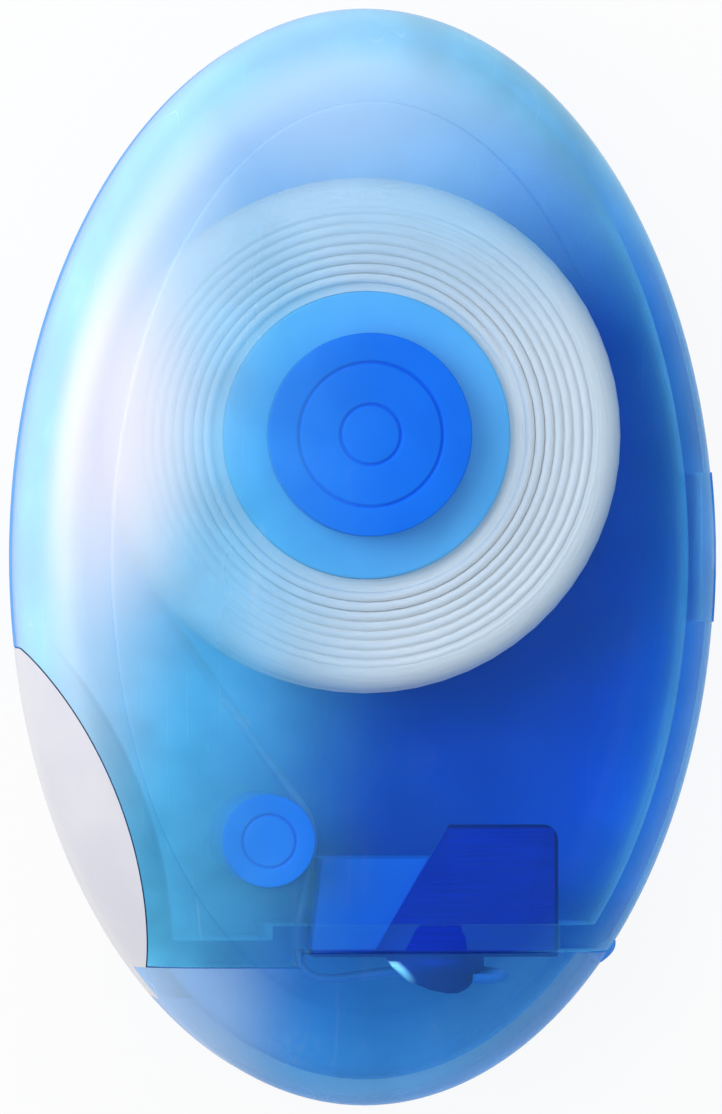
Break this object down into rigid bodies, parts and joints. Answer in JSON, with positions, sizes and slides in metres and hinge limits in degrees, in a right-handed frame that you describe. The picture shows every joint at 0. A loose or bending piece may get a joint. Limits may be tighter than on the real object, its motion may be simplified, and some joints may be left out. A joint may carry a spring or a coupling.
{
  "type": "dental floss dispenser",
  "caption": "Egg-shaped pocket floss dispenser: translucent two-part case, spool of floss on a hub, steel cutter and a flip lid with a white thumb tab.",
  "frame": {"origin": "middle of the egg's outline, on the back face that it lies on", "axes": "+Z out of the front face, +Y along the egg away from the lid, +X towards the lid's hinge"},
  "size_m": [0.0352, 0.055, 0.014],
  "materials": {
    "case_plastic": "translucent blue, glossy",
    "lid_plastic": "translucent blue, slightly frosted",
    "tab_plastic": "milky white, satin",
    "barrel_plastic": "pale blue, moulded",
    "holder_plastic": "deep blue, moulded",
    "floss": "waxed white thread",
    "cutter_steel": "stamped stainless sheet"
  },
  "bodies": {
    "case": {"front_shell": "case_plastic", "back_shell": "case_plastic", "case_hinge_strap": "case_plastic", "cutter_holder": "holder_plastic", "cutter": "cutter_steel", "floss_lead": "floss", "lid_hinge_bead": "lid_plastic"},
    "spool": {"spool_barrel": "barrel_plastic", "floss_pack": "floss", "floss_winding": "floss"},
    "lid": {"lid_dome": "lid_plastic", "thumb_tab": "tab_plastic"}
  },
  "joints": [
    {"name": "spool_spin", "type": "hinge", "parent": "case", "child": "spool", "pos_m": [0, 0.0061, 0.007], "axis": [0, 0, 1], "continuous": true},
    {"name": "lid_hinge", "type": "hinge", "parent": "case", "child": "lid", "pos_m": [0.01233, -0.01978, 0.007], "axis": [0, 0, 1], "range_deg": [0, 120]}
  ]
}
